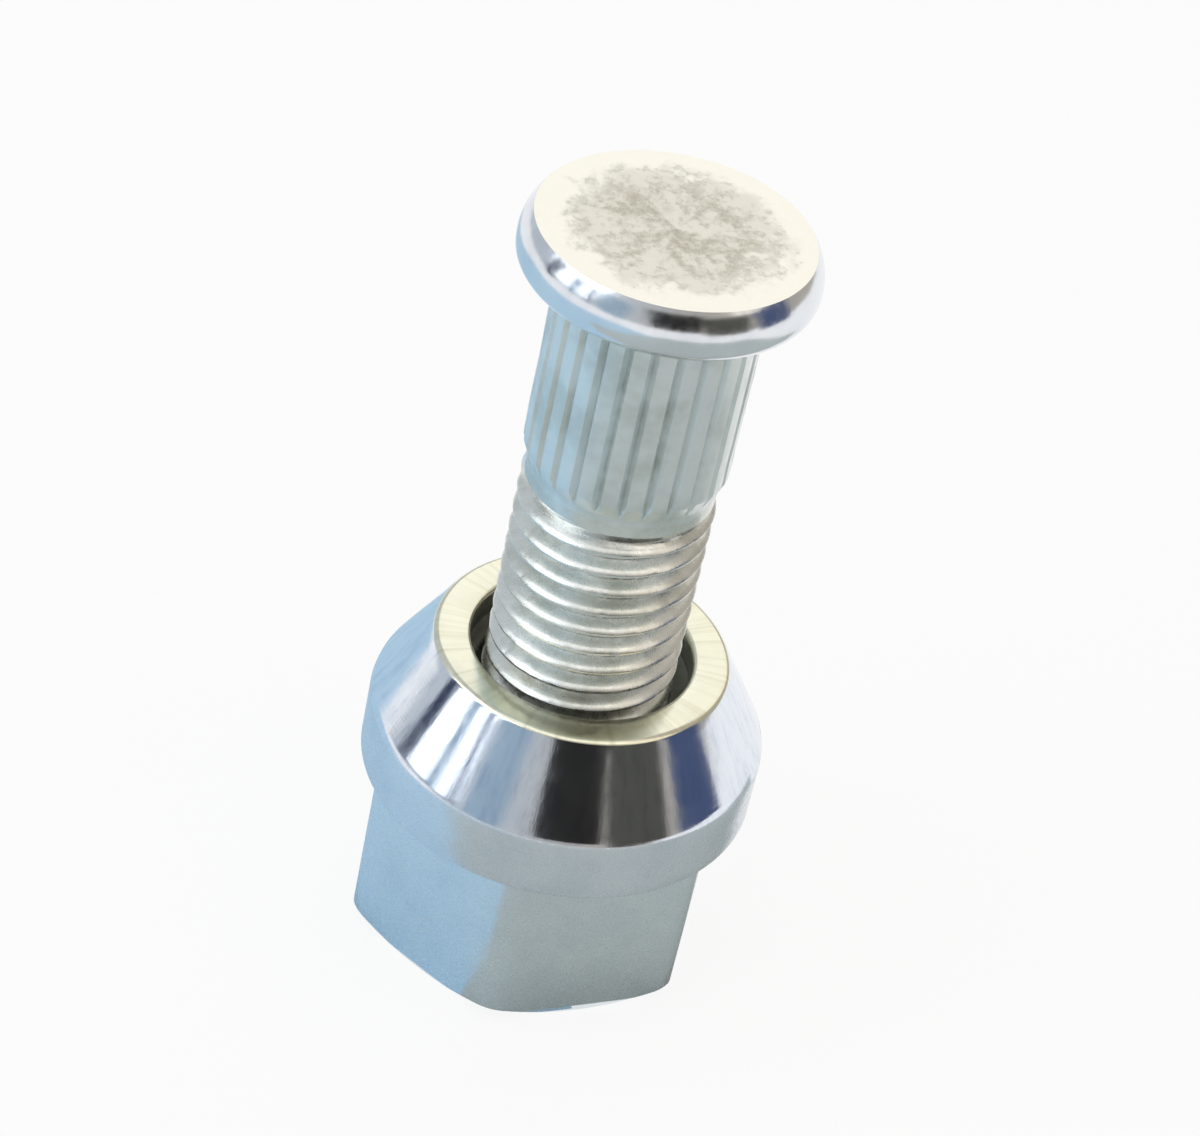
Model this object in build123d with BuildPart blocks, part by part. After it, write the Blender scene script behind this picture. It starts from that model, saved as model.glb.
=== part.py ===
"""Press-in wheel stud with its conical-seat wheel nut, standing on the nut's hexagon end."""
import os
from math import radians, tan

from build123d import *

# Thread shared by the stud and the nut
thread_diameter = 12.0
thread_pitch = 1.5
thread_depth = 0.92
thread_crest_flat = 0.19
flank_angle = 30.0
thread_root_overlap = 0.15
thread_clearance = 0.1

# Stud: head, knurl, neck and threaded shank
head_diameter = 17.8
head_face_diameter = 16.4
head_thickness = 3.4
head_shoulder = 1.9
head_foot_radius = 1.3
knurl_rise = 0.25
knurl_length = 13.2
knurl_chamfer = 1.1
knurl_teeth = 26
knurl_groove_width = 0.56
knurl_groove_depth = 0.42
neck_relief = 0.2
neck_length = 1.2
thread_length = 26.3
thread_lead = 1.0
thread_runout = 0.5
thread_start_angle = 37.0
stud_end_chamfer = 0.6

# Nut: hexagon, collar, cone seat and bore
hex_across_flats = 21.0
hex_corner_radius = 1.6
hex_length = 12.0
hex_end_diameter = 20.4
hex_end_angle = 30.0
collar_diameter = 25.0
collar_length = 4.1
seat_angle = 60.0
lip_diameter = 18.4
lip_edge_radius = 0.5
mouth_clearance = 0.9
mouth_depth = 1.9
base_countersink = 0.6

# Length of stud that is screwed into the nut at rest
engaged_length = 13.4

# Sizes that follow from the ones above
seat_height = (collar_diameter - lip_diameter) / 2 / tan(radians(seat_angle / 2))
nut_height = hex_length + collar_length + seat_height
thread_core_radius = thread_diameter / 2 - thread_depth
neck_radius = thread_diameter / 2 - neck_relief
knurl_radius = thread_diameter / 2 + knurl_rise
bore_radius = thread_diameter / 2 + thread_clearance
mouth_radius = bore_radius + mouth_clearance
stud_end = nut_height - engaged_length
thread_top = stud_end + thread_length
neck_top = thread_top + neck_length
knurl_bottom = neck_top + knurl_chamfer
head_seat = neck_top + knurl_length
head_top = head_seat + head_thickness

os.makedirs("parts", exist_ok=True)

# Turned body of the stud: threaded shank, neck, knurl blank and forged head
with BuildPart() as wheel_stud:
    with BuildSketch(Plane.XZ):
        with BuildLine():
            foot = (head_diameter / 2 - head_foot_radius, head_seat)
            waist = (head_diameter / 2, head_seat + head_foot_radius)
            shoulder = (head_diameter / 2, head_top - head_shoulder)
            crown = (head_face_diameter / 2, head_top)
            Polyline(
                crown,
                (0, head_top),
                (0, stud_end),
                (thread_core_radius - stud_end_chamfer, stud_end),
                (thread_core_radius, stud_end + stud_end_chamfer),
                (thread_core_radius, thread_top),
                (neck_radius, thread_top),
                (neck_radius, neck_top),
                (knurl_radius, knurl_bottom),
                (knurl_radius, head_seat),
                foot,
            )
            RadiusArc(foot, waist, -head_foot_radius)
            Line(waist, shoulder)
            TangentArc(shoulder, crown, tangent=(0, 1))
        make_face()
    revolve(axis=Axis.Z)

    # Straight knurl: narrow grooves between broad lands
    with BuildSketch(Plane.XY.offset(neck_top)):
        with PolarLocations(knurl_radius, knurl_teeth):
            Polygon(
                (-knurl_groove_depth, 0),
                (knurl_groove_depth, -knurl_groove_width),
                (knurl_groove_depth, knurl_groove_width),
                align=None,
            )
    extrude(amount=head_seat - neck_top, mode=Mode.SUBTRACT)

    # Right-handed thread: one ridge that climbs around the core, its root sunk a little into it
    thread_plane = Plane.XY.offset(stud_end + thread_lead).rotated((0, 0, thread_start_angle))
    with BuildLine(thread_plane):
        thread_path = Helix(thread_pitch, thread_length - thread_lead - thread_runout, thread_core_radius)
    crest_half = thread_crest_flat / 2
    root_half = crest_half + (thread_depth + thread_root_overlap) * tan(radians(flank_angle))
    ridge_origin = thread_plane.from_local_coords((thread_core_radius, 0, 0))
    with BuildSketch(Plane(origin=ridge_origin, x_dir=thread_plane.x_dir, z_dir=thread_plane.y_dir)):
        with BuildLine():
            Polyline(
                (-thread_root_overlap, -root_half),
                (thread_depth, -crest_half),
                (thread_depth, crest_half),
                (-thread_root_overlap, root_half),
                close=True,
            )
        make_face()
    sweep(path=thread_path, is_frenet=True)
wheel_stud.part.label = "wheel_stud"
export_step(wheel_stud.part, "parts/wheel_stud.step")

# Nut: hexagon with rounded corners and a chamfered end, round collar, cone seat and bore
with BuildPart() as wheel_nut:
    with BuildSketch():
        RegularPolygon(hex_across_flats / 2, 6, major_radius=False, rotation=30)
        fillet(vertices(), hex_corner_radius)
    extrude(amount=hex_length)
    with BuildSketch(Plane.XZ):
        with BuildLine():
            end_rise = (hex_across_flats - hex_end_diameter / 2) * tan(radians(hex_end_angle))
            Polyline(
                (0, 0),
                (hex_end_diameter / 2, 0),
                (hex_across_flats, end_rise),
                (hex_across_flats, nut_height),
                (0, nut_height),
                close=True,
            )
        make_face()
    revolve(axis=Axis.Z, mode=Mode.INTERSECT)

    with BuildSketch(Plane.XZ):
        with BuildLine():
            Polyline(
                (0, hex_length),
                (collar_diameter / 2, hex_length),
                (collar_diameter / 2, hex_length + collar_length),
                (lip_diameter / 2, nut_height),
                (0, nut_height),
                close=True,
            )
        make_face()
    revolve(axis=Axis.Z)

    round_edges = edges().filter_by(GeomType.CIRCLE)
    fillet(round_edges.filter_by_position(Axis.Z, nut_height, nut_height), lip_edge_radius)

    with BuildSketch(Plane.XZ):
        with BuildLine():
            Polyline(
                (0, 0),
                (bore_radius + base_countersink, 0),
                (bore_radius, base_countersink),
                (bore_radius, nut_height - mouth_depth - mouth_clearance),
                (mouth_radius, nut_height - mouth_depth),
                (mouth_radius, nut_height),
                (0, nut_height),
                close=True,
            )
        make_face()
    revolve(axis=Axis.Z, mode=Mode.SUBTRACT)
wheel_nut.part.label = "wheel_nut"
export_step(wheel_nut.part, "parts/wheel_nut.step")
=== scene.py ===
"""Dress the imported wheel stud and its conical-seat nut, and set the studio around them."""
import logging
import math
from collections.abc import Callable, Sequence
from dataclasses import dataclass, field
from enum import Enum

import bmesh
import bpy
from mathutils import Matrix, Vector


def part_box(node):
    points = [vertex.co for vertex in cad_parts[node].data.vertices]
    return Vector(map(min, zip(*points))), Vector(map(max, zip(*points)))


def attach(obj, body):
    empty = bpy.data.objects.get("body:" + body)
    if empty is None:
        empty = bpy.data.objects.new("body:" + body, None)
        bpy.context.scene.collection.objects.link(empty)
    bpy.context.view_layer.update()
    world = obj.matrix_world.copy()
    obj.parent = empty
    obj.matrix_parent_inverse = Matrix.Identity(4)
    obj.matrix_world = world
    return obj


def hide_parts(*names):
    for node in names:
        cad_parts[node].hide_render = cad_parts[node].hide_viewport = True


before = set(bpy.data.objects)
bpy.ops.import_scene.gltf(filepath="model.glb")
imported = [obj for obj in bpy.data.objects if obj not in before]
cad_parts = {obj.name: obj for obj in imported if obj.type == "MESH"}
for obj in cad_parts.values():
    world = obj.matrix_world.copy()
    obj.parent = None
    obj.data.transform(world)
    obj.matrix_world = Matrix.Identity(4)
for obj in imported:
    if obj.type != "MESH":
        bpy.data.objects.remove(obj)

LOG = logging.getLogger("wheel_stud")
MM = 0.001
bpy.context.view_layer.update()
FULL_TURN = 2.0 * math.pi
FLANK_RISE = 1.0 / math.tan(math.radians(30.0))

Colour = tuple[float, float, float]
Point = tuple[float, float]
Socket = bpy.types.NodeSocket
Value = float | Socket


class Grain(Enum):
    """How a plated surface was worked before it was plated."""

    SATIN = "satin"
    TURNED = "turned"
    FORGED = "forged"
    ROLLED = "rolled"


class Zone(Enum):
    """The separately finished stretches of the two pieces."""

    HEAD_FACE = "head_face"
    HEAD_RIM = "head_rim"
    KNURL = "knurl"
    THREAD = "thread"
    LIP = "lip"
    CONE = "cone"
    COLLAR = "collar"
    HEXAGON = "hexagon"
    BORE = "bore"


class NodeTree:
    """A thin hand for adding and joining nodes of a shader or geometry tree."""

    def __init__(self, tree: bpy.types.NodeTree) -> None:
        """Take hold of a tree.

        Args:
            tree: The shader or geometry tree to add to.
        """
        self.tree = tree

    def add(self, kind: str, **settings: object) -> bpy.types.Node:
        """Add a node and set its properties.

        Args:
            kind: The node's type name.
            settings: Properties of the node, by name.

        Returns:
            The new node.
        """
        node = self.tree.nodes.new(kind)
        for name, value in settings.items():
            setattr(node, name, value)
        return node

    def feed(self, socket: Socket, value: object) -> None:
        """Link a socket to another, or set its value.

        Args:
            socket: The input to feed.
            value: A socket to link from, or a plain value.
        """
        if isinstance(value, bpy.types.NodeSocket):
            self.tree.links.new(value, socket)
        else:
            socket.default_value = value

    def math(self, operation: str, first: Value, second: Value = 0.0, third: Value = 0.0) -> Socket:
        """Add a math node.

        Args:
            operation: The operation's name.
            first: First value.
            second: Second value.
            third: Third value, such as a smooth distance.

        Returns:
            The result socket.
        """
        node = self.add("ShaderNodeMath", operation=operation)
        for socket, value in zip(node.inputs, (first, second, third)):
            self.feed(socket, value)
        return node.outputs[0]

    def noise(self, vector: Socket, scale: float, detail: float = 2.0, roughness: float = 0.5) -> Socket:
        """Add a noise texture.

        Args:
            vector: Where the noise is read.
            scale: Its scale in that space.
            detail: Octaves.
            roughness: How strong the finer octaves are.

        Returns:
            The factor socket.
        """
        node = self.add("ShaderNodeTexNoise")
        self.feed(node.inputs["Vector"], vector)
        node.inputs["Scale"].default_value = scale
        node.inputs["Detail"].default_value = detail
        node.inputs["Roughness"].default_value = roughness
        return node.outputs[0]

    def ramp(self, factor: Socket, low: float, high: float,
             to_low: Value = 0.0, to_high: Value = 1.0) -> Socket:
        """Map a factor smoothly between two levels.

        Args:
            factor: The value to map.
            low: Where the ramp starts.
            high: Where it ends.
            to_low: The result at the start.
            to_high: The result at the end.

        Returns:
            The result socket.
        """
        node = self.add("ShaderNodeMapRange", interpolation_type="SMOOTHSTEP")
        for name, value in (("Value", factor), ("From Min", low), ("From Max", high),
                            ("To Min", to_low), ("To Max", to_high)):
            self.feed(node.inputs[name], value)
        return node.outputs[0]

    def blend(self, factor: Socket, first: Colour | Socket, second: Colour | Socket) -> Socket:
        """Mix two colours.

        Args:
            factor: The share of the second colour.
            first: First colour.
            second: Second colour.

        Returns:
            The colour socket.
        """
        node = self.add("ShaderNodeMix", data_type="RGBA")
        self.feed(node.inputs["Factor"], factor)
        for name, colour in (("A", first), ("B", second)):
            socket = next(s for s in node.inputs if s.name == name and s.type == "RGBA")
            self.feed(socket, colour if isinstance(colour, bpy.types.NodeSocket) else (*colour, 1.0))
        return next(s for s in node.outputs if s.type == "RGBA")


@dataclass(frozen=True)
class Finish:
    """One zinc-plated finish.

    Attributes:
        zone: The stretch that it covers.
        grain: How the steel underneath was worked.
        light: Main colour of the plating.
        dark: Colour in its hollows and duller patches.
        gloss: Lowest and highest roughness.
        relief: Height of the fine relief in millimetres.
        spread: Stretch of reflections along the turning marks.
    """

    zone: Zone
    grain: Grain
    light: Colour
    dark: Colour
    gloss: tuple[float, float]
    relief: float
    spread: float = 0.0

    def material(self) -> bpy.types.Material:
        """Build the procedural material.

        Returns:
            The material, read on Object coordinates.
        """
        made = bpy.data.materials.new(f"zinc_{self.zone.value}")
        made.use_nodes = True
        made.diffuse_color = (*self.light, 1.0)
        nodes = NodeTree(made.node_tree)
        shader = made.node_tree.nodes["Principled BSDF"]
        place = nodes.add("ShaderNodeTexCoord").outputs["Object"]
        builders: dict[Grain, Callable[[NodeTree, Socket], tuple[Socket, Socket, Socket]]] = {
            Grain.SATIN: self._satin,
            Grain.TURNED: self._turned,
            Grain.FORGED: self._forged,
            Grain.ROLLED: self._rolled,
        }
        patch, dull, height = builders[self.grain](nodes, place)
        nodes.feed(shader.inputs["Base Color"], nodes.blend(patch, self.light, self.dark))
        nodes.feed(shader.inputs["Roughness"], nodes.ramp(dull, 0.25, 0.75, self.gloss[0], self.gloss[1]))
        shader.inputs["Metallic"].default_value = 1.0
        shader.inputs["Anisotropic"].default_value = self.spread
        if self.spread:
            around = nodes.add("ShaderNodeTangent", direction_type="RADIAL", axis="Z")
            nodes.feed(shader.inputs["Tangent"], around.outputs[0])
        bump = nodes.add("ShaderNodeBump")
        bump.inputs["Distance"].default_value = self.relief * MM
        nodes.feed(bump.inputs["Height"], height)
        nodes.feed(shader.inputs["Normal"], bump.outputs[0])
        return made

    def _satin(self, nodes: NodeTree, place: Socket) -> tuple[Socket, Socket, Socket]:
        """Mottle a satin surface.

        Args:
            nodes: The material's tree.
            place: Object coordinates.

        Returns:
            Colour patches, dullness and height.
        """
        cloud = nodes.noise(place, scale=260.0, detail=4.0, roughness=0.6)
        fine = nodes.noise(place, scale=2600.0, detail=3.0, roughness=0.6)
        return nodes.ramp(cloud, 0.35, 0.75), fine, nodes.math("ADD", fine, cloud)

    def _turned(self, nodes: NodeTree, place: Socket) -> tuple[Socket, Socket, Socket]:
        """Draw fine turning rings and faint streaks down the slope.

        Args:
            nodes: The material's tree.
            place: Object coordinates.

        Returns:
            Colour patches, dullness and height.
        """
        split = nodes.add("ShaderNodeSeparateXYZ")
        nodes.feed(split.inputs[0], place)
        rings = nodes.add("ShaderNodeCombineXYZ")
        nodes.feed(rings.inputs[2], split.outputs[2])
        ring = nodes.noise(rings.outputs[0], scale=5200.0, detail=3.0, roughness=0.7)
        turn = nodes.math("ARCTAN2", split.outputs[1], split.outputs[0])
        fan = nodes.add("ShaderNodeCombineXYZ")
        nodes.feed(fan.inputs[0], nodes.math("COSINE", turn))
        nodes.feed(fan.inputs[1], nodes.math("SINE", turn))
        nodes.feed(fan.inputs[2], nodes.math("MULTIPLY", split.outputs[2], 30.0))
        streak = nodes.noise(fan.outputs[0], scale=17.0, detail=4.0, roughness=0.65)
        cloud = nodes.noise(place, scale=420.0, detail=3.0, roughness=0.6)
        height = nodes.math("ADD", nodes.math("MULTIPLY", ring, 0.6), streak)
        return nodes.ramp(streak, 0.42, 0.8), cloud, height

    def _forged(self, nodes: NodeTree, place: Socket) -> tuple[Socket, Socket, Socket]:
        """Roughen a forged face with dull specks inside a smooth border.

        Args:
            nodes: The material's tree.
            place: Object coordinates.

        Returns:
            Colour patches, dullness and height.
        """
        split = nodes.add("ShaderNodeSeparateXYZ")
        nodes.feed(split.inputs[0], place)
        flat = nodes.add("ShaderNodeCombineXYZ")
        nodes.feed(flat.inputs[0], split.outputs[0])
        nodes.feed(flat.inputs[1], split.outputs[1])
        length = nodes.add("ShaderNodeVectorMath", operation="LENGTH")
        nodes.feed(length.inputs[0], flat.outputs[0])
        radius = length.outputs["Value"]
        turn = nodes.math("ARCTAN2", split.outputs[1], split.outputs[0])
        rays = nodes.add("ShaderNodeCombineXYZ")
        nodes.feed(rays.inputs[0], nodes.math("COSINE", turn))
        nodes.feed(rays.inputs[1], nodes.math("SINE", turn))
        nodes.feed(rays.inputs[2], nodes.math("MULTIPLY", radius, 95.0))
        ray = nodes.noise(rays.outputs[0], scale=5.0, detail=5.0, roughness=0.75)
        speck = nodes.noise(flat.outputs[0], scale=1500.0, detail=5.0, roughness=0.8)
        cloud = nodes.noise(flat.outputs[0], scale=330.0, detail=3.0, roughness=0.6)
        drift = nodes.math("MULTIPLY", nodes.math("SUBTRACT", cloud, 0.5), 9.0 * MM)
        ragged = nodes.math("ADD", radius, drift)
        middle = nodes.ramp(ragged, 4.0 * MM, 8.0 * MM, 1.0, 0.0)
        grit = nodes.math("ADD", nodes.math("MULTIPLY", ray, 0.14), nodes.math("MULTIPLY", speck, 0.46))
        grit = nodes.math("ADD", grit, nodes.math("MULTIPLY", cloud, 0.4))
        patch = nodes.math("MULTIPLY", nodes.ramp(grit, 0.46, 0.62), middle)
        height = nodes.math("SUBTRACT", nodes.math("MULTIPLY", speck, 0.35), patch)
        return patch, nodes.math("MULTIPLY", middle, 0.8), height

    def _rolled(self, nodes: NodeTree, place: Socket) -> tuple[Socket, Socket, Socket]:
        """Scuff a rolled surface with short scratches and nicks.

        Args:
            nodes: The material's tree.
            place: Object coordinates.

        Returns:
            Colour patches, dullness and height.
        """
        stretch = nodes.add("ShaderNodeMapping")
        stretch.inputs["Scale"].default_value = (1.0, 1.0, 0.35)
        nodes.feed(stretch.inputs["Vector"], place)
        scuff = nodes.noise(stretch.outputs[0], scale=1500.0, detail=4.0, roughness=0.7)
        cloud = nodes.noise(place, scale=330.0, detail=3.0, roughness=0.6)
        return nodes.ramp(cloud, 0.38, 0.72), scuff, scuff


FINISHES: tuple[Finish, ...] = (
    Finish(Zone.HEAD_FACE, Grain.FORGED, (0.97, 0.94, 0.84), (0.68, 0.63, 0.51), (0.32, 0.55), 0.06),
    Finish(Zone.HEAD_RIM, Grain.SATIN, (0.84, 0.86, 0.89), (0.74, 0.77, 0.82), (0.14, 0.22), 0.003),
    Finish(Zone.KNURL, Grain.ROLLED, (0.84, 0.87, 0.86), (0.68, 0.71, 0.68), (0.28, 0.44), 0.014),
    Finish(Zone.THREAD, Grain.ROLLED, (0.84, 0.85, 0.82), (0.66, 0.67, 0.62), (0.20, 0.36), 0.014),
    Finish(Zone.LIP, Grain.TURNED, (0.86, 0.84, 0.68), (0.72, 0.70, 0.54), (0.16, 0.26), 0.004),
    Finish(Zone.CONE, Grain.TURNED, (0.82, 0.86, 0.92), (0.66, 0.70, 0.80), (0.08, 0.16), 0.006, 0.6),
    Finish(Zone.COLLAR, Grain.SATIN, (0.80, 0.83, 0.88), (0.72, 0.76, 0.82), (0.22, 0.36), 0.006),
    Finish(Zone.HEXAGON, Grain.SATIN, (0.80, 0.84, 0.87), (0.73, 0.78, 0.82), (0.20, 0.34), 0.007),
    Finish(Zone.BORE, Grain.ROLLED, (0.55, 0.55, 0.50), (0.38, 0.38, 0.34), (0.34, 0.50), 0.012),
)


@dataclass(frozen=True)
class Row:
    """One ring of a turned blank, in millimetres.

    Attributes:
        radius: Radius, or a function of the angle.
        height: Height, or a function of the angle.
        zone: Finish of the band between this ring and the next.
        band: Name of the rolling tool that shapes this ring, or an empty text.
    """

    radius: float | Callable[[float], float]
    height: float | Callable[[float], float]
    zone: Zone
    band: str = ""

    def point(self, angle: float) -> Vector:
        """Give the ring's point at an angle, in metres."""
        radius = self.radius(angle) if callable(self.radius) else self.radius
        height = self.height(angle) if callable(self.height) else self.height
        return Vector((radius * math.cos(angle), radius * math.sin(angle), height)) * MM


def arc(centre: Point, radius: float, start: float, end: float, steps: int) -> list[Point]:
    """Give points along an arc of a profile.

    Args:
        centre: Radius and height of the arc's centre.
        radius: The arc's radius.
        start: First angle in degrees, from the outward direction.
        end: Last angle in degrees.
        steps: Number of stretches.

    Returns:
        Points as radius and height, both ends included.
    """
    turns = [math.radians(start + (end - start) * step / steps) for step in range(steps + 1)]
    return [(centre[0] + radius * math.cos(t), centre[1] + radius * math.sin(t)) for t in turns]


def spread(first: Point, last: Point, steps: int) -> list[Point]:
    """Give points along a straight stretch of a profile.

    Args:
        first: Radius and height at the start.
        last: Radius and height at the end.
        steps: Number of stretches.

    Returns:
        Points as radius and height, both ends included.
    """
    run, climb = last[0] - first[0], last[1] - first[1]
    return [(first[0] + run * step / steps, first[1] + climb * step / steps) for step in range(steps + 1)]


@dataclass(frozen=True)
class ThreadForm:
    """Shape of one rolled or tapped thread, in millimetres.

    Attributes:
        pitch: Climb of one turn.
        crest_radius: Radius at the crest.
        crest_half: Half the width of the crest.
        root_radius: Radius at the root.
        rounding: Softness of crest and root.
        top: Height where the thread runs out above.
        top_radius: Radius of the plain stretch above.
        top_slope: How fast the thread runs out there.
        bottom: Height where it ends below.
        bottom_radius: Radius of the plain stretch below.
        bottom_slope: How fast it runs out there.
        wear: Depth of the nicks on its flanks and crests.
    """

    pitch: float
    crest_radius: float
    crest_half: float
    root_radius: float
    rounding: float
    top: float
    top_radius: float
    top_slope: float
    bottom: float
    bottom_radius: float
    bottom_slope: float
    wear: float

    BAND = "thread_band"
    STEPS = 12
    NICK_SCALE = 900.0

    def rows(self, zone: Zone) -> list[Row]:
        """Give helical rings for the whole length, from the top down.

        Args:
            zone: Finish of the thread.

        Returns:
            Rings that climb one pitch in a turn, held between the two ends.
        """
        step = self.pitch / self.STEPS
        count = math.ceil((self.top - self.bottom) / step) + self.STEPS + 1
        first = self.top + step / 2

        def climb(start: float) -> Callable[[float], float]:
            """Give the height along one helical ring."""
            return lambda angle: min(self.top, max(self.bottom, start + self.pitch * angle / FULL_TURN))

        starts = [first - index * step for index in range(count)]
        return [Row(self.crest_radius, climb(start), zone, self.BAND) for start in starts]

    def tool(self, material: bpy.types.Material) -> bpy.types.NodeTree:
        """Build the tree that rolls this thread into a blank.

        Args:
            material: Finish of the thread.

        Returns:
            The geometry tree, its sizes on named inputs in millimetres.
        """
        rolling = RollingTool("thread_rolling", self.BAND)
        size = rolling.inputs(
            ("Pitch", self.pitch), ("Crest radius", self.crest_radius),
            ("Crest half width", self.crest_half), ("Root radius", self.root_radius),
            ("Rounding", self.rounding), ("Wear", self.wear),
            ("Top", self.top), ("Top radius", self.top_radius), ("Top slope", self.top_slope),
            ("Bottom", self.bottom), ("Bottom radius", self.bottom_radius),
            ("Bottom slope", self.bottom_slope))
        n = rolling.nodes
        turns = n.math("SUBTRACT", n.math("DIVIDE", rolling.height, size["Pitch"]),
                       n.math("DIVIDE", rolling.angle, FULL_TURN))
        share = n.math("ABSOLUTE", n.math("SUBTRACT", n.math("FRACT", turns), 0.5))
        off = n.math("MULTIPLY", share, size["Pitch"])
        fall = n.math("MULTIPLY", n.math("SUBTRACT", off, size["Crest half width"]), FLANK_RISE)
        flank = n.math("SUBTRACT", size["Crest radius"], fall)
        form = n.math("SMOOTH_MIN", flank, size["Crest radius"], size["Rounding"])
        form = n.math("SMOOTH_MAX", form, size["Root radius"], size["Rounding"])
        nick = n.math("MULTIPLY", n.ramp(rolling.nicks(self.NICK_SCALE), 0.52, 0.75), size["Wear"])
        form = n.math("SUBTRACT", form, nick)
        for end in ("Top", "Bottom"):
            depth = n.math("ABSOLUTE", n.math("SUBTRACT", rolling.height, size[end]))
            room = n.math("MULTIPLY", depth, size[f"{end} slope"])
            form = n.math("MAXIMUM", form, n.math("SUBTRACT", size[f"{end} radius"], room))
            form = n.math("MINIMUM", form, n.math("ADD", size[f"{end} radius"], room))
        return rolling.close(form, material)


@dataclass(frozen=True)
class KnurlForm:
    """Shape of the straight knurl, in millimetres.

    Attributes:
        teeth: Number of grooves around.
        land_radius: Radius of the lands.
        groove_half: Half the width of a groove at the land.
        groove_depth: Depth of a groove.
        wear: Depth of the unevenness on the lands.
    """

    teeth: int
    land_radius: float
    groove_half: float
    groove_depth: float
    wear: float

    BAND = "knurl_band"
    EDGE_EASE = 0.07
    NICK_SCALE = 420.0

    def angles(self) -> list[float]:
        """Give the ring's angles, with points on every groove's edges and bottom.

        Returns:
            Angles in radians, from the first groove once around.
        """
        edge = self.groove_half / (FULL_TURN * self.land_radius / self.teeth)
        land = edge + self.EDGE_EASE
        shares = (0.0, edge / 2, edge, land, 0.5, 1 - land, 1 - edge, 1 - edge / 2)
        return [(tooth + share) * FULL_TURN / self.teeth for tooth in range(self.teeth) for share in shares]

    def tool(self, material: bpy.types.Material) -> bpy.types.NodeTree:
        """Build the tree that presses the grooves into a blank.

        Args:
            material: Finish of the knurl.

        Returns:
            The geometry tree, its sizes on named inputs in millimetres.
        """
        rolling = RollingTool("knurl_rolling", self.BAND)
        size = rolling.inputs(
            ("Teeth", float(self.teeth)), ("Land radius", self.land_radius),
            ("Groove half width", self.groove_half), ("Groove depth", self.groove_depth),
            ("Wear", self.wear))
        n = rolling.nodes
        tooth = n.math("MULTIPLY", n.math("DIVIDE", rolling.angle, FULL_TURN), size["Teeth"])
        share = n.math("PINGPONG", tooth, 0.5)
        around_land = n.math("MULTIPLY", n.math("MULTIPLY", share, FULL_TURN), size["Land radius"])
        off = n.math("DIVIDE", around_land, size["Teeth"])
        reach = n.math("DIVIDE", off, size["Groove half width"])
        cut = n.math("MAXIMUM", n.math("SUBTRACT", 1.0, reach), 0.0)
        groove = n.math("SUBTRACT", size["Land radius"], n.math("MULTIPLY", cut, size["Groove depth"]))
        uneven = n.math("MULTIPLY", n.ramp(rolling.nicks(self.NICK_SCALE), 0.4, 0.8), size["Wear"])
        form = n.math("MINIMUM", n.math("SUBTRACT", rolling.radius, uneven), groove)
        return rolling.close(form, material)


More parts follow.
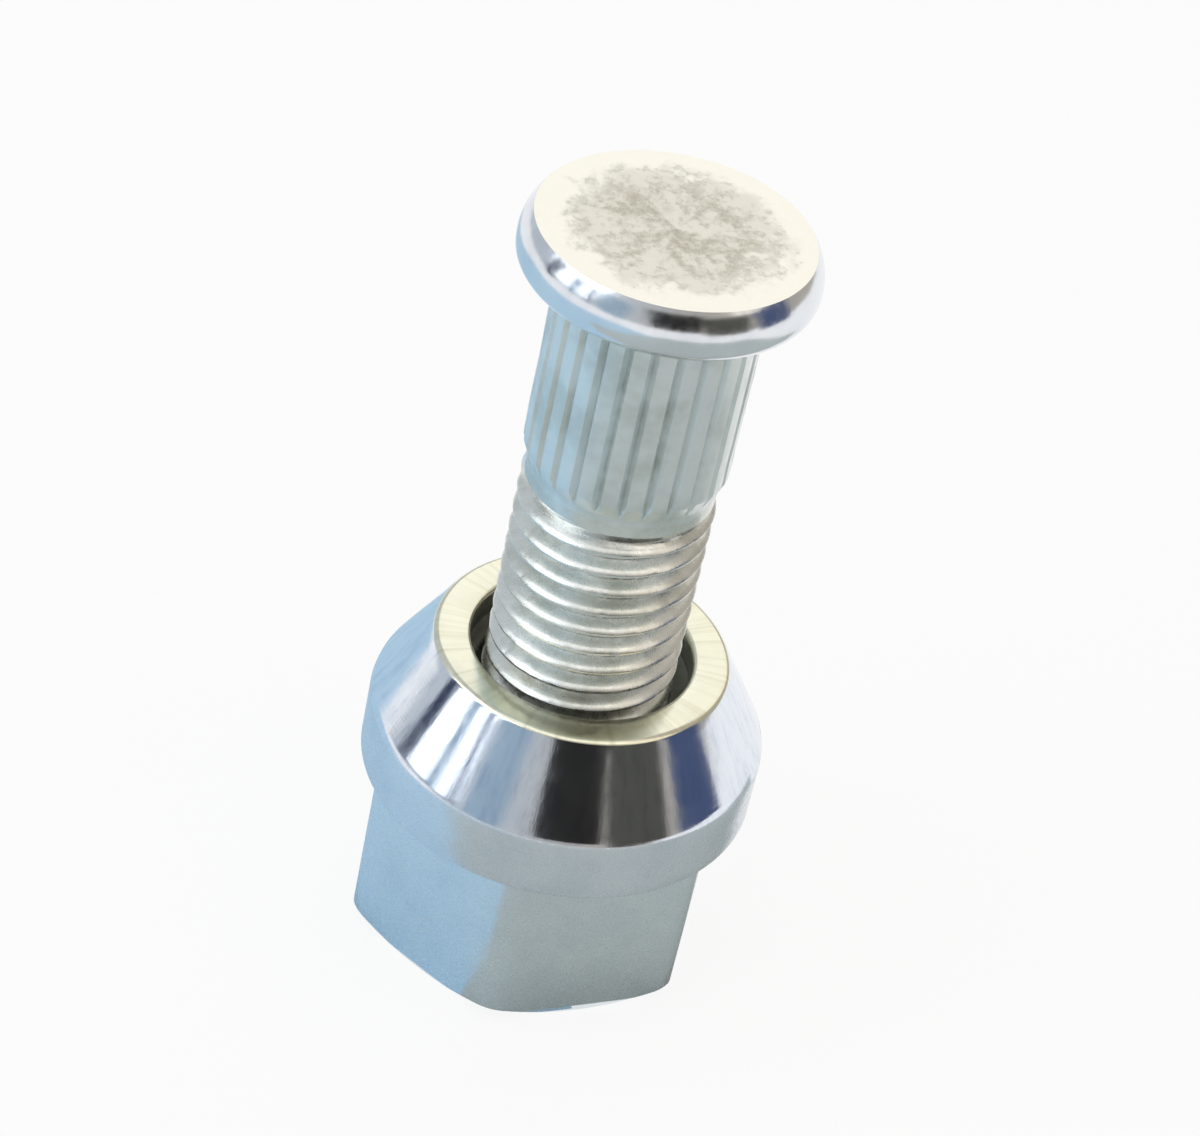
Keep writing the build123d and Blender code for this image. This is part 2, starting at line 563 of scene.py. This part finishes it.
class RollingTool:
    """A geometry tree that resets the radius of one band of a blank."""

    SEED = 4.0

    def __init__(self, name: str, band: str) -> None:
        """Start the tree with the fields that every rule reads.

        Args:
            name: The tree's name.
            band: The point attribute that marks the stretch to shape.
        """
        self.tree = bpy.data.node_groups.new(name, "GeometryNodeTree")
        self.tree.interface.new_socket("Geometry", in_out="INPUT", socket_type="NodeSocketGeometry")
        self.tree.interface.new_socket("Geometry", in_out="OUTPUT", socket_type="NodeSocketGeometry")
        self.nodes = NodeTree(self.tree)
        self.entry = self.nodes.add("NodeGroupInput")
        self.exit = self.nodes.add("NodeGroupOutput")
        named = self.nodes.add("GeometryNodeInputNamedAttribute", data_type="FLOAT")
        named.inputs["Name"].default_value = band
        self.chosen = self.nodes.math("GREATER_THAN", named.outputs["Attribute"], 0.5)
        self.place = self.nodes.add("GeometryNodeInputPosition").outputs[0]
        split = self.nodes.add("ShaderNodeSeparateXYZ")
        self.nodes.feed(split.inputs[0], self.place)
        self.angle = self.nodes.math("ARCTAN2", split.outputs[1], split.outputs[0])
        self.height = self.nodes.math("DIVIDE", split.outputs[2], MM)
        flat = self.nodes.add("ShaderNodeVectorMath", operation="MULTIPLY")
        self.nodes.feed(flat.inputs[0], self.place)
        flat.inputs[1].default_value = (1.0, 1.0, 0.0)
        length = self.nodes.add("ShaderNodeVectorMath", operation="LENGTH")
        self.nodes.feed(length.inputs[0], flat.outputs[0])
        self.radius = self.nodes.math("DIVIDE", length.outputs["Value"], MM)
        self.sizes: list[tuple[str, float]] = []

    def inputs(self, *sizes: tuple[str, float]) -> dict[str, Socket]:
        """Add named inputs.

        Args:
            sizes: Names and values in millimetres.

        Returns:
            The input sockets by name.
        """
        for name, _ in sizes:
            self.tree.interface.new_socket(name, in_out="INPUT", socket_type="NodeSocketFloat")
        self.sizes = list(sizes)
        return {name: self.entry.outputs[name] for name, _ in sizes}

    def nicks(self, scale: float) -> Socket:
        """Give a fixed noise over the surface.

        Args:
            scale: Noise scale on metres.

        Returns:
            The noise factor.
        """
        node = self.nodes.add("ShaderNodeTexNoise", noise_dimensions="4D")
        self.nodes.feed(node.inputs["Vector"], self.place)
        node.inputs["W"].default_value = self.SEED
        node.inputs["Scale"].default_value = scale
        return node.outputs[0]

    def close(self, form: Socket, material: bpy.types.Material) -> bpy.types.NodeTree:
        """Finish the tree: set the new radius, then realise and dress the band.

        Args:
            form: The new radius in millimetres.
            material: Finish of the band.

        Returns:
            The finished tree.
        """
        n = self.nodes
        scale = n.math("DIVIDE", form, n.math("MAXIMUM", self.radius, 1e-6))
        stretch = n.add("ShaderNodeCombineXYZ")
        n.feed(stretch.inputs[0], scale)
        n.feed(stretch.inputs[1], scale)
        stretch.inputs[2].default_value = 1.0
        moved = n.add("ShaderNodeVectorMath", operation="MULTIPLY")
        n.feed(moved.inputs[0], self.place)
        n.feed(moved.inputs[1], stretch.outputs[0])
        setter = n.add("GeometryNodeSetPosition")
        n.feed(setter.inputs["Geometry"], self.entry.outputs["Geometry"])
        n.feed(setter.inputs["Selection"], self.chosen)
        n.feed(setter.inputs["Position"], moved.outputs[0])
        real = n.add("GeometryNodeRealizeInstances")
        n.feed(real.inputs["Geometry"], setter.outputs["Geometry"])
        dress = n.add("GeometryNodeSetMaterial")
        n.feed(dress.inputs["Geometry"], real.outputs["Geometry"])
        n.feed(dress.inputs["Selection"], self.chosen)
        dress.inputs["Material"].default_value = material
        n.feed(self.exit.inputs[0], dress.outputs["Geometry"])
        self.tree["sizes"] = dict(self.sizes)
        return self.tree


@dataclass
class TurnedPiece:
    """A piece made from a turned blank and shaped by rolling tools.

    Attributes:
        finishes: Material of each of the piece's zones.
    """

    finishes: dict[Zone, bpy.types.Material]

    NAME = ""
    NODE = ""
    BODY = ""
    SLOT = ""
    SHARP = math.radians(32.0)
    WELD = 2e-7

    def rows(self) -> list[Row]:
        """Give the blank's rings in order."""
        raise NotImplementedError

    def angles(self) -> list[float]:
        """Give the angles of the rings' points."""
        raise NotImplementedError

    def tools(self) -> list[bpy.types.NodeTree]:
        """Give the rolling tools in order."""
        raise NotImplementedError

    def closed_loop(self) -> bool:
        """Say whether the last ring joins the first, as around a through bore."""
        return False

    def blank(self) -> bpy.types.Mesh:
        """Turn the blank.

        Returns:
            A closed mesh with the rolling bands marked and a finish on every face.
        """
        rows = self.rows()
        turns = [*self.angles(), FULL_TURN]
        zones = list(self.finishes)
        shell = bmesh.new()
        bands = {row.band for row in rows if row.band}
        layers = {band: shell.verts.layers.float.new(band) for band in sorted(bands)}
        rings = []
        for row in rows:
            ring = [shell.verts.new(row.point(angle)) for angle in turns]
            if row.band:
                for vert in ring:
                    vert[layers[row.band]] = 1.0
            rings.append(ring)
        pairs = list(zip(rows, rings, rings[1:]))
        if self.closed_loop():
            pairs.append((rows[-1], rings[-1], rings[0]))
        for row, upper, lower in pairs:
            for side in range(len(turns) - 1):
                face = shell.faces.new((upper[side], lower[side], lower[side + 1], upper[side + 1]))
                face.material_index = zones.index(row.zone)
                face.smooth = True
        bmesh.ops.remove_doubles(shell, verts=shell.verts, dist=self.WELD)
        bmesh.ops.dissolve_degenerate(shell, edges=shell.edges, dist=self.WELD)
        bmesh.ops.recalc_face_normals(shell, faces=shell.faces)
        mesh = bpy.data.meshes.new(self.NAME)
        shell.to_mesh(mesh)
        shell.free()
        for zone in zones:
            mesh.materials.append(self.finishes[zone])
        return mesh

    def build(self) -> bpy.types.Object:
        """Turn, roll and place the piece.

        Returns:
            The finished object, riding on its body in place of its CAD node.
        """
        piece = bpy.data.objects.new(self.NAME, self.blank())
        bpy.context.scene.collection.objects.link(piece)
        for tree in self.tools():
            modifier = piece.modifiers.new(tree.name, "NODES")
            modifier.node_group = tree
            sizes = tree["sizes"]
            for item in tree.interface.items_tree:
                if item.item_type == "SOCKET" and item.in_out == "INPUT" and item.name in sizes:
                    modifier[item.identifier] = float(sizes[item.name])
        finished = piece.evaluated_get(bpy.context.evaluated_depsgraph_get())
        shaped = bpy.data.meshes.new_from_object(finished)
        piece.modifiers.clear()
        piece.data = shaped
        shaped.name = self.NAME
        shaped.set_sharp_from_angle(angle=self.SHARP)
        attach(piece, self.BODY)
        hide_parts(self.NODE)
        LOG.info("%s: %d faces on %s", self.NAME, len(shaped.polygons), self.BODY)
        return piece


@dataclass
class WheelNut(TurnedPiece):
    """The hexagon nut with collar, cone seat and threaded bore, in millimetres.

    Attributes:
        across_flats: Width of the hexagon.
        corner_radius: Rounding of its corners.
        hex_length: Its length, from the open end to the collar.
        end_radius: Radius of the flat on the open end.
        end_angle: Slope of the chamfer around that flat, in degrees.
        end_ring: Radius of a ring that holds the open end's shading flat.
        collar_radius: Radius of the collar.
        collar_length: Length of its straight side.
        seat_angle: Full angle of the cone seat, in degrees.
        lip_radius: Radius where the cone would meet the lip.
        lip_edge: Rounding between cone and lip.
        lip_land: Width from the mouth to a ring that holds the lip's shading flat.
        bore_radius: Radius at the roots of the tapped thread.
        minor_radius: Radius at its crests.
        tap_ease: How far the tap stays inside the plain bore.
        tap_half: Half the width of the thread's root.
        tap_rounding: Softness of the tapped thread.
        mouth_clearance: How much wider the mouth is than the bore.
        mouth_depth: Depth of the mouth.
        mouth_edge: Depth at which the mouth's plain wall starts.
        base_countersink: Countersink of the bore at the open end.
        edge: Small rounding of the turned edges.
        pitch: Climb of the thread in one turn.
    """

    across_flats: float = 21.0
    corner_radius: float = 1.6
    hex_length: float = 12.0
    end_radius: float = 10.2
    end_angle: float = 30.0
    end_ring: float = 8.2
    collar_radius: float = 12.5
    collar_length: float = 4.1
    seat_angle: float = 60.0
    lip_radius: float = 9.2
    lip_edge: float = 0.5
    lip_land: float = 0.9
    bore_radius: float = 6.1
    minor_radius: float = 5.2
    tap_ease: float = 0.02
    tap_half: float = 0.19
    tap_rounding: float = 0.1
    mouth_clearance: float = 0.9
    mouth_depth: float = 1.9
    mouth_edge: float = 0.6
    base_countersink: float = 0.6
    edge: float = 0.14
    pitch: float = 1.5

    NAME = "wheel_nut_body"
    NODE = "wheel_nut"
    BODY = "nut"
    SLOT = "nut_zinc"
    COLUMNS = 216

    @property
    def seat_base(self) -> float:
        """Height of the cone's wide end."""
        return self.hex_length + self.collar_length

    @property
    def height(self) -> float:
        """Height of the lip, the nut's top."""
        tilt = math.radians(self.seat_angle / 2)
        return self.seat_base + (self.collar_radius - self.lip_radius) / math.tan(tilt)

    @property
    def thread(self) -> ThreadForm:
        """The tapped thread."""
        return ThreadForm(
            pitch=self.pitch, crest_radius=self.bore_radius - self.tap_ease, crest_half=self.tap_half,
            root_radius=self.minor_radius, rounding=self.tap_rounding,
            top=self.height - self.mouth_depth - self.mouth_clearance,
            top_radius=self.bore_radius, top_slope=1.0,
            bottom=self.base_countersink, bottom_radius=self.bore_radius, bottom_slope=1.0, wear=0.0)

    def closed_loop(self) -> bool:
        """Join the ends of the profile around the bore."""
        return True

    def angles(self) -> list[float]:
        """Give evenly spread angles."""
        return [FULL_TURN * step / self.COLUMNS for step in range(self.COLUMNS)]

    def tools(self) -> list[bpy.types.NodeTree]:
        """Give the tap."""
        return [self.thread.tool(self.finishes[Zone.BORE])]

    def hex_radius(self, angle: float) -> float:
        """Give the hexagon's radius at an angle, corners rounded.

        Args:
            angle: Angle in radians, with a corner straight towards the front.

        Returns:
            Radius in millimetres.
        """
        sector = math.radians(60.0)
        off = abs((angle + math.radians(90.0) + sector / 2) % sector - sector / 2)
        flat = self.across_flats / 2
        half = sector / 2
        centre = (flat - self.corner_radius) / math.cos(half)
        limit = math.atan2(self.corner_radius * math.sin(half), centre + self.corner_radius * math.cos(half))
        if off < limit:
            across = centre * math.sin(off)
            return centre * math.cos(off) + math.sqrt(self.corner_radius ** 2 - across ** 2)
        return flat / math.cos(half - off)

    def end_rise(self, angle: float) -> float:
        """Give the height at which the end chamfer meets the hexagon at an angle."""
        return max(0.0, self.hex_radius(angle) - self.end_radius) * math.tan(math.radians(self.end_angle))

    def rows(self) -> list[Row]:
        """Give the nut's rings: up the outside, over the lip and down the bore."""
        return [*self._hexagon(), *self._collar(), *self._seat(), *self._bore()]

    def _hexagon(self) -> list[Row]:
        """Give the open end, its chamfer and the hexagon's sides."""
        inset = self.edge
        slope = math.radians(self.end_angle)

        def chamfer(share: float) -> Row:
            """Give a ring part of the way up the chamfer."""
            return Row(lambda angle: self.end_radius + (self.hex_radius(angle) - self.end_radius) * share,
                       lambda angle: self.end_rise(angle) * share, Zone.HEXAGON)

        def side(share: float, zone: Zone) -> Row:
            """Give a ring part of the way from the chamfer to the collar."""
            return Row(self.hex_radius, lambda angle: (self.end_rise(angle) + inset) * (1 - share)
                       + self.hex_length * share, zone)

        return [
            Row(self.bore_radius + self.base_countersink, 0.0, Zone.COLLAR),
            Row(self.end_ring, 0.0, Zone.COLLAR),
            Row(self.end_radius - inset, 0.0, Zone.COLLAR),
            Row(self.end_radius, inset * math.tan(slope) * 0.3, Zone.HEXAGON),
            *(chamfer(share) for share in (0.35, 0.7, 0.94)),
            Row(self.hex_radius, lambda angle: self.end_rise(angle) * 0.99 + inset, Zone.HEXAGON),
            side(0.33, Zone.HEXAGON),
            side(0.66, Zone.HEXAGON),
            side(1.0, Zone.COLLAR),
        ]

    def _collar(self) -> list[Row]:
        """Give the collar's underside and its straight side."""
        inset, base = self.edge, self.hex_length
        side = [(self.collar_radius - inset, base),
                *arc((self.collar_radius - inset, base + inset), inset, -60, 0, 2),
                *spread((self.collar_radius, base + 1.0), (self.collar_radius, self.seat_base - inset), 2)]
        return [Row(r, z, Zone.COLLAR) for r, z in side]

    def _seat(self) -> list[Row]:
        """Give the cone, the rounded lip and the mouth's edge."""
        inset = self.edge
        tilt = math.radians(self.seat_angle / 2)
        cone_foot = (self.collar_radius - inset * math.sin(tilt), self.seat_base + inset * math.cos(tilt))
        lip_turn = math.radians(90.0) - tilt
        reach = self.lip_edge * math.tan(lip_turn / 2)
        lip_start = (self.lip_radius + reach * math.sin(tilt), self.height - reach * math.cos(tilt))
        rows = [Row(r, z, Zone.CONE) for r, z in spread(cone_foot, lip_start, 12)]
        lip_centre = (self.lip_radius - reach, self.height - self.lip_edge)
        rows += [Row(r, z, Zone.LIP) for r, z in arc(lip_centre, self.lip_edge, 30, 90, 6)[1:]]
        mouth = self.bore_radius + self.mouth_clearance
        rim = mouth + 2 * inset
        rows += [Row(mouth + self.lip_land, self.height, Zone.LIP), Row(rim, self.height, Zone.LIP)]
        rounded = arc((rim, self.height - 2 * inset), 2 * inset, 90, 180, 4)[1:]
        return rows + [Row(r, z, Zone.LIP) for r, z in rounded]

    def _bore(self) -> list[Row]:
        """Give the mouth, its sloping floor and the tapped bore."""
        mouth = self.bore_radius + self.mouth_clearance
        floor = self.height - self.mouth_depth
        wall = [*spread((mouth, self.height - self.mouth_edge), (mouth, floor), 3),
                *spread((mouth, floor), (self.bore_radius, floor - self.mouth_clearance), 3)[1:]]
        rows = [Row(r, z, Zone.BORE) for r, z in wall]
        rows += self.thread.rows(Zone.BORE)
        return rows + [Row(self.bore_radius, self.base_countersink, Zone.BORE)]


@dataclass
class WheelStud(TurnedPiece):
    """The press-in stud with head, knurl, neck and rolled thread, in millimetres.

    Attributes:
        top: Height of the head's face, from the frame.
        head_radius: Widest radius of the head.
        face_radius: Radius of its flat face.
        face_rings: Radii of the rings on that face.
        head_thickness: Thickness of the head.
        shoulder: Height of the rim's upper bulge.
        foot_radius: Rounding of the rim's lower edge.
        knurl_length: Length of the knurl with its chamfer.
        knurl_chamfer: Length of the chamfer at its lower end.
        neck_radius: Radius of the plain neck.
        neck_length: Its length.
        thread_radius: Radius at the thread's crests.
        thread_depth: Depth of the thread.
        thread_length: Its length.
        end_rings: Radii of the rings on the stud's end, from its edge to the middle.
        pitch: Climb of the thread in one turn.
        knurl: Shape of the knurl.
    """

    top: float = field(default_factory=lambda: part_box("wheel_stud")[1][2] / MM)
    head_radius: float = 8.9
    face_radius: float = 8.2
    face_rings: tuple[float, ...] = (0.0, 0.5, 1.2, 2.4, 3.8, 5.4, 6.8, 7.7)
    head_thickness: float = 3.4
    shoulder: float = 1.9
    foot_radius: float = 1.3
    knurl_length: float = 13.2
    knurl_chamfer: float = 1.1
    neck_radius: float = 5.8
    neck_length: float = 1.2
    thread_radius: float = 6.0
    thread_depth: float = 0.92
    thread_length: float = 26.3
    end_rings: tuple[float, ...] = (4.6, 3.0, 0.0)
    pitch: float = 1.5
    knurl: KnurlForm = field(default_factory=lambda: KnurlForm(26, 6.25, 0.28, 0.42, 0.05))

    NAME = "wheel_stud_body"
    NODE = "wheel_stud"
    BODY = "stud"
    SLOT = "stud_zinc"

    @property
    def seat(self) -> float:
        """Height of the head's underside."""
        return self.top - self.head_thickness

    @property
    def neck_top(self) -> float:
        """Height of the knurl's lower end."""
        return self.seat - self.knurl_length

    @property
    def thread_top(self) -> float:
        """Height of the neck's lower end."""
        return self.neck_top - self.neck_length

    @property
    def thread(self) -> ThreadForm:
        """The rolled thread."""
        return ThreadForm(
            pitch=self.pitch, crest_radius=self.thread_radius, crest_half=0.1,
            root_radius=self.thread_radius - self.thread_depth, rounding=0.16, top=self.thread_top,
            top_radius=self.neck_radius, top_slope=0.6, bottom=self.thread_top - self.thread_length,
            bottom_radius=self.end_rings[0], bottom_slope=1.0, wear=0.05)

    def angles(self) -> list[float]:
        """Give angles that follow the knurl's grooves."""
        return self.knurl.angles()

    def tools(self) -> list[bpy.types.NodeTree]:
        """Give the knurl and thread rolls."""
        return [self.knurl.tool(self.finishes[Zone.KNURL]), self.thread.tool(self.finishes[Zone.THREAD])]

    def rows(self) -> list[Row]:
        """Give the stud's rings from the middle of the head's face to the middle of its other end."""
        rows = [Row(r, self.top, Zone.HEAD_FACE) for r in self.face_rings]
        step_in = self.head_radius - self.face_radius
        turn = 180.0 - 2 * math.degrees(math.atan2(self.shoulder, step_in))
        bulge = math.hypot(self.shoulder, step_in) / 2 / math.sin(math.radians(turn) / 2)
        shoulder = arc((self.head_radius - bulge, self.top - self.shoulder), bulge, turn, 0.0, 12)
        rows += [Row(r, z, Zone.HEAD_RIM) for r, z in shoulder]
        foot_centre = (self.head_radius - self.foot_radius, self.seat + self.foot_radius)
        foot = arc(foot_centre, self.foot_radius, 0, -90, 8)
        rows += [Row(r, z, Zone.HEAD_RIM) for r, z in foot]
        land = self.knurl.land_radius
        rows += [Row(land + 0.3, self.seat, Zone.HEAD_RIM), Row(land + 0.08, self.seat - 0.04, Zone.KNURL)]
        foot_of_knurl = self.neck_top + self.knurl_chamfer
        band = KnurlForm.BAND
        rows += [Row(r, z, Zone.KNURL, band)
                 for r, z in spread((land, self.seat - 0.2), (land, foot_of_knurl), 14)]
        rows += [Row(r, z, Zone.KNURL, band)
                 for r, z in spread((land, foot_of_knurl), (self.neck_radius, self.neck_top), 9)[1:]]
        neck = spread((self.neck_radius, self.neck_top), (self.neck_radius, self.thread_top), 3)[1:]
        rows += [Row(r, z, Zone.THREAD) for r, z in neck]
        rows += self.thread.rows(Zone.THREAD)
        return rows + [Row(r, self.thread.bottom, Zone.THREAD) for r in self.end_rings]


@dataclass(frozen=True)
class SoftBox:
    """A soft studio lamp aimed at the part.

    Attributes:
        name: The lamp's name.
        azimuth: Degrees around the part, 0 towards the front and 90 to the right.
        elevation: Degrees above the floor.
        distance: Distance in metres.
        size: Width and height in metres.
        power: Power in watts.
        colour: Colour of the light.
    """

    name: str
    azimuth: float
    elevation: float
    distance: float
    size: tuple[float, float]
    power: float
    colour: Colour

    def build(self, target: Vector) -> bpy.types.Object:
        """Hang the lamp.

        Args:
            target: The point that it is aimed at.

        Returns:
            The lamp's object.
        """
        lamp = bpy.data.lights.new(self.name, "AREA")
        lamp.shape = "RECTANGLE"
        lamp.size, lamp.size_y = self.size
        lamp.energy = self.power
        lamp.color = self.colour
        holder = bpy.data.objects.new(self.name, lamp)
        holder.location = target + around(self.azimuth, self.elevation, self.distance)
        holder.rotation_euler = (target - holder.location).to_track_quat("-Z", "Y").to_euler()
        bpy.context.scene.collection.objects.link(holder)
        return holder


@dataclass(frozen=True)
class Card:
    """A coloured card that only shows in the bright metal.

    Attributes:
        name: The card's name.
        azimuth: Degrees around the part, 0 towards the front and 90 to the right.
        elevation: Degrees above the floor.
        size: Width and height in metres.
        colour: Colour of the card.
        distance: Distance in metres.
        lying: Whether it lies on the floor.
    """

    name: str
    azimuth: float
    elevation: float
    size: tuple[float, float]
    colour: Colour
    distance: float = 0.32
    lying: bool = False

    def build(self, target: Vector) -> bpy.types.Object:
        """Stand the card up facing the part, or lay it down.

        Args:
            target: The point that it faces.

        Returns:
            The card's object, seen by reflections alone.
        """
        place = target + around(self.azimuth, self.elevation, self.distance)
        turn = (target - place).to_track_quat("Z", "Y").to_matrix().to_4x4()
        if self.lying:
            place = around(self.azimuth, self.elevation, self.distance)
            turn = Matrix.Rotation(math.radians(self.azimuth), 4, "Z")
        width, height = self.size
        stand = Matrix.Translation(place) @ turn
        signs = ((-1, -1), (1, -1), (1, 1), (-1, 1))
        corners = [stand @ Vector((sx * width / 2, sy * height / 2, 0.0)) for sx, sy in signs]
        mesh = bpy.data.meshes.new(self.name)
        mesh.from_pydata(corners, [], [(0, 1, 2, 3)])
        paint = bpy.data.materials.new(self.name)
        paint.use_nodes = True
        shader = paint.node_tree.nodes["Principled BSDF"]
        shader.inputs["Base Color"].default_value = (*self.colour, 1.0)
        shader.inputs["Roughness"].default_value = 0.9
        mesh.materials.append(paint)
        card = bpy.data.objects.new(self.name, mesh)
        card.visible_camera = False
        card.visible_diffuse = False
        card.visible_shadow = not self.lying
        card.visible_transmission = False
        bpy.context.scene.collection.objects.link(card)
        return card


def around(azimuth: float, elevation: float, distance: float) -> Vector:
    """Give an offset from the part's axis.

    Args:
        azimuth: Degrees, 0 towards the front and 90 to the right.
        elevation: Degrees above the floor.
        distance: Length of the offset in metres.

    Returns:
        The offset.
    """
    turn, rise = math.radians(azimuth), math.radians(elevation)
    level = math.cos(rise)
    return Vector((math.sin(turn) * level, -math.cos(turn) * level, math.sin(rise))) * distance


@dataclass(frozen=True)
class Studio:
    """Floor, lamps, cards, world and camera around the part.

    Attributes:
        aim: Height on the axis that the camera looks at, in millimetres.
        azimuth: The camera's degrees around the part.
        elevation: The camera's degrees above the floor.
        distance: The camera's distance in millimetres.
        roll: The camera's turn about its own line of sight in degrees.
        lens: Focal length on a 36 mm frame.
        floor_half: Half the floor's width in metres.
        floor_glow: Share of plain white in the floor that is seen.
    """

    aim: float = 27.8
    azimuth: float = 2.9
    elevation: float = 37.3
    distance: float = 212.8
    roll: float = 12.8
    lens: float = 105.0
    floor_half: float = 1.5
    floor_glow: float = 0.88

    LAMPS = (
        SoftBox("key_left", -66.0, 32.0, 0.55, (0.46, 0.60), 1.15, (0.93, 0.97, 1.0)),
        SoftBox("top_soft", 20.0, 80.0, 0.60, (0.50, 0.50), 0.50, (1.0, 0.98, 0.93)),
        SoftBox("fill_right", 78.0, 48.0, 0.60, (0.30, 0.40), 0.22, (1.0, 0.93, 0.82)),
        SoftBox("back_soft", 170.0, 35.0, 0.60, (0.60, 0.30), 0.36, (1.0, 0.99, 0.97)),
    )
    CARDS = (
        Card("card_front", 17.0, 22.0, (0.20, 0.20), (0.016, 0.014, 0.012)),
        Card("card_brown", 54.0, 16.0, (0.19, 0.20), (0.095, 0.090, 0.072)),
        Card("card_blue", 90.0, 14.0, (0.15, 0.20), (0.07, 0.10, 0.21)),
        Card("card_left", -82.0, 14.0, (0.05, 0.18), (0.015, 0.03, 0.10)),
        Card("card_streak", -47.0, 16.0, (0.022, 0.18), (0.04, 0.08, 0.20)),
        Card("card_pale", -28.0, 18.0, (0.12, 0.20), (0.46, 0.62, 0.78)),
        Card("card_mist", -60.0, 16.0, (0.035, 0.18), (0.30, 0.45, 0.62)),
        # Painted reflections: two sheets lying on the floor that only the metal sees, pale blue on the left
        # and grey on the right. They paint a lit left side and a shaded right side onto the hexagon, while
        # the camera still sees the floor white.
        Card("painted_reflection_left", -62.0, 0.25, (0.24, 0.15), (0.56, 0.78, 0.96), 0.075, True),
        Card("painted_reflection_right", 40.0, 0.45, (0.15, 0.13), (0.58, 0.64, 0.64), 0.072, True),
    )

    def build(self) -> None:
        """Set up everything around the part."""
        middle = Vector((0.0, 0.0, self.aim * MM))
        for lamp in self.LAMPS:
            lamp.build(middle)
        for card in self.CARDS:
            card.build(middle)
        self._floor()
        self._world()
        self._camera(middle)
        bpy.context.scene.view_settings.view_transform = "Standard"

    def _floor(self) -> bpy.types.Object:
        """Lay the pale floor, which keeps the part's shadow and is clear from below."""
        mesh = bpy.data.meshes.new("floor")
        half = self.floor_half
        mesh.from_pydata([(-half, -half, 0.0), (half, -half, 0.0), (half, half, 0.0), (-half, half, 0.0)],
                         [], [(0, 1, 2, 3)])
        paint = bpy.data.materials.new("floor_white")
        paint.use_nodes = True
        nodes = NodeTree(paint.node_tree)
        shader = paint.node_tree.nodes["Principled BSDF"]
        shader.inputs["Base Color"].default_value = (0.92, 0.92, 0.92, 1.0)
        shader.inputs["Roughness"].default_value = 0.9
        shader.inputs["Specular IOR Level"].default_value = 0.0
        white = nodes.add("ShaderNodeEmission")
        white.inputs["Color"].default_value = (1.0, 1.0, 1.0, 1.0)
        white.inputs["Strength"].default_value = 1.0
        ray = nodes.add("ShaderNodeLightPath")
        seen = nodes.math("ADD", ray.outputs["Is Camera Ray"], ray.outputs["Is Glossy Ray"])
        seen = nodes.math("MINIMUM", nodes.math("ADD", seen, ray.outputs["Is Transmission Ray"]), 1.0)
        mix = nodes.add("ShaderNodeMixShader")
        nodes.feed(mix.inputs[0], nodes.math("MULTIPLY", seen, self.floor_glow))
        nodes.feed(mix.inputs[1], shader.outputs[0])
        nodes.feed(mix.inputs[2], white.outputs[0])
        sides = nodes.add("ShaderNodeMixShader")
        nodes.feed(sides.inputs[0], nodes.add("ShaderNodeNewGeometry").outputs["Backfacing"])
        nodes.feed(sides.inputs[1], mix.outputs[0])
        nodes.feed(sides.inputs[2], nodes.add("ShaderNodeBsdfTransparent").outputs[0])
        nodes.feed(paint.node_tree.nodes["Material Output"].inputs["Surface"], sides.outputs[0])
        mesh.materials.append(paint)
        floor = bpy.data.objects.new("floor", mesh)
        bpy.context.scene.collection.objects.link(floor)
        return floor

    def _world(self) -> bpy.types.World:
        """Wrap the studio in a pale room, cooler to the left and warmer to the right."""
        world = bpy.data.worlds.new("pale_room")
        world.use_nodes = True
        nodes = NodeTree(world.node_tree)
        split = nodes.add("ShaderNodeSeparateXYZ")
        nodes.feed(split.inputs[0], nodes.add("ShaderNodeTexCoord").outputs["Generated"])
        side = nodes.ramp(split.outputs[0], -0.7, 0.7)
        back = world.node_tree.nodes["Background"]
        nodes.feed(back.inputs["Color"], nodes.blend(side, (0.78, 0.84, 0.90), (0.66, 0.61, 0.54)))
        back.inputs["Strength"].default_value = 0.7
        bpy.context.scene.world = world
        return world

    def _camera(self, middle: Vector) -> bpy.types.Object:
        """Stand the camera where the photograph was taken.

        Args:
            middle: The point that it looks at.

        Returns:
            The camera's object.
        """
        eye = bpy.data.cameras.new("camera")
        eye.sensor_fit = "HORIZONTAL"
        eye.sensor_width = 36.0
        eye.lens = self.lens
        eye.clip_start = 0.01
        holder = bpy.data.objects.new("camera", eye)
        holder.location = middle + around(self.azimuth, self.elevation, self.distance * MM)
        level = (middle - holder.location).to_track_quat("-Z", "Y").to_matrix()
        holder.rotation_euler = (level @ Matrix.Rotation(math.radians(self.roll), 3, "Z")).to_euler()
        bpy.context.scene.collection.objects.link(holder)
        bpy.context.scene.camera = holder
        return holder


def main() -> None:
    """Build the finishes, the two pieces and the studio."""
    logging.basicConfig(level=logging.INFO, format="%(name)s %(message)s")
    finishes = {finish.zone: finish.material() for finish in FINISHES}
    stud_zones = (Zone.HEAD_FACE, Zone.HEAD_RIM, Zone.KNURL, Zone.THREAD)
    nut_zones = (Zone.LIP, Zone.CONE, Zone.COLLAR, Zone.HEXAGON, Zone.BORE)
    WheelStud({zone: finishes[zone] for zone in stud_zones}).build()
    WheelNut({zone: finishes[zone] for zone in nut_zones}).build()
    Studio().build()


if __name__ == "__main__":
    main()
